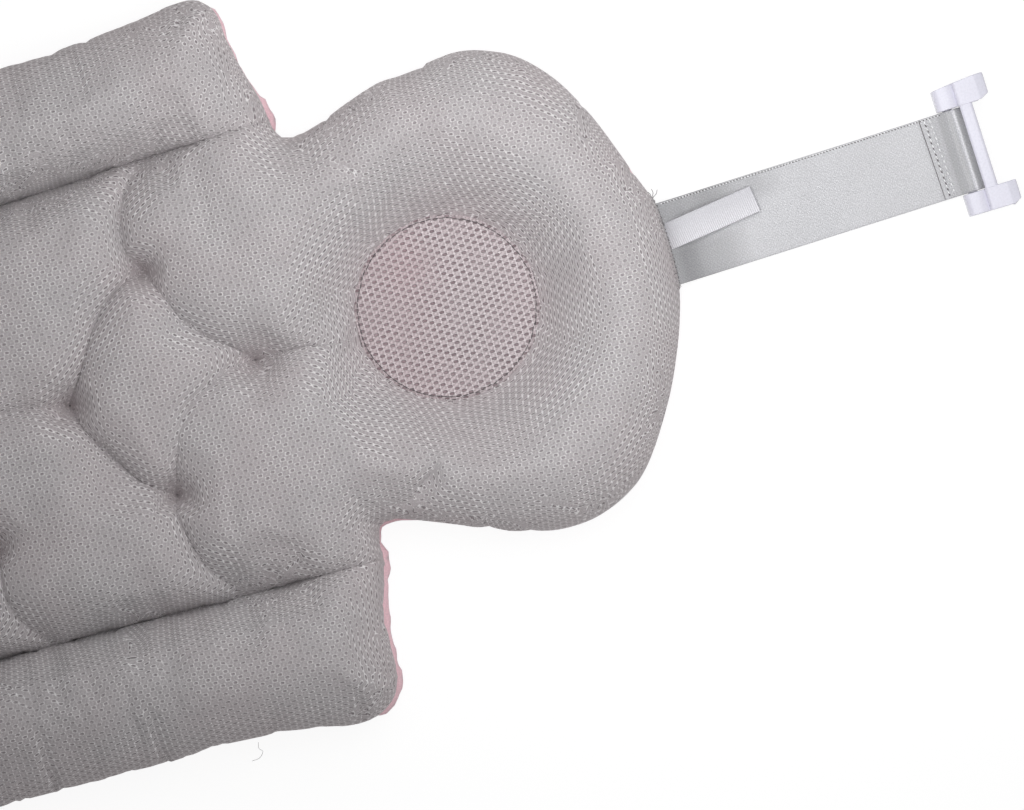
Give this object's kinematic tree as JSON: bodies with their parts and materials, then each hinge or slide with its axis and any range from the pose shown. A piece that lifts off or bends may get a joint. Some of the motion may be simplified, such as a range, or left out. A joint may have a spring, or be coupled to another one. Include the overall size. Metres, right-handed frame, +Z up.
{
  "type": "infant bath cushion",
  "caption": "Padded mesh bath cushion for a small baby, with a round head ring, tufted body, fold-up side bolsters, and a strap with a hook buckle for a tub rim.",
  "frame": {"origin": "on the underside, below the centre of the round head window", "axes": "+Z up out of the mesh face, +Y from the feet towards the head and strap, +X to the right seen from the feet"},
  "size_m": [0.3354, 0.7136, 0.0468],
  "materials": {
    "top_mesh": "warm grey spacer mesh with small staggered holes",
    "window_mesh": "flat grey mesh over pink back cloth",
    "back_cloth": "soft pink cloth",
    "filling": "white polyester fibre",
    "webbing": "silver-grey satin webbing",
    "ribbon": "plain white ribbed ribbon",
    "thread": "grey polyester thread",
    "buckle_plastic": "glossy moulded white plastic"
  },
  "bodies": {
    "pad": {"body_top_cover": "top_mesh", "body_filling": "filling", "body_back_cover": "back_cloth", "window_panel": "window_mesh", "window_seam_thread": "thread", "strap_root_thread": "thread", "channel_seam_right": "thread", "channel_seam_left": "thread", "chest_tuft_tie": "thread", "waist_tuft_tie": "thread", "seat_tuft_tie": "thread", "knee_tuft_tie": "thread", "shoulder_tuft_tie_left": "thread", "shoulder_tuft_tie_right": "thread", "hip_tuft_tie_left": "thread", "hip_tuft_tie_right": "thread", "thigh_tuft_tie_left": "thread", "thigh_tuft_tie_right": "thread"},
    "left_bolster": {"bolster_top_cover_left": "top_mesh", "bolster_filling_left": "filling", "bolster_back_cover_left": "back_cloth"},
    "right_bolster": {"bolster_top_cover_right": "top_mesh", "bolster_filling_right": "filling", "bolster_back_cover_right": "back_cloth"},
    "webbing": {"strap": "webbing", "loop_stitches_outer": "thread", "loop_stitches_inner": "thread"},
    "label": {"label_tab": "ribbon"},
    "buckle": {"hook_buckle": "buckle_plastic"}
  },
  "joints": [
    {"name": "left_bolster_fold", "type": "hinge", "parent": "pad", "child": "left_bolster", "pos_m": [-0.104, -0.058, 0.01], "axis": [-0.0258, 0.9997, 0], "range_deg": [0, 45]},
    {"name": "right_bolster_fold", "type": "hinge", "parent": "pad", "child": "right_bolster", "pos_m": [0.104, -0.058, 0.01], "axis": [-0.0258, -0.9997, 0], "range_deg": [0, 45]},
    {"name": "strap_lift", "type": "hinge", "parent": "pad", "child": "webbing", "pos_m": [-0.00001, 0.1048, 0.008], "axis": [0.9993, 0.0384, 0], "range_deg": [0, 70]},
    {"name": "label_lift", "type": "hinge", "parent": "webbing", "child": "label", "pos_m": [-0.00369, 0.10936, 0.0074], "axis": [0.9893, 0.1461, 0], "range_deg": [0, 20]},
    {"name": "buckle_swivel", "type": "hinge", "parent": "webbing", "child": "buckle", "pos_m": [-0.00546, 0.24669, 0.009], "axis": [0.9993, 0.0384, 0], "range_deg": [0, 110]}
  ]
}
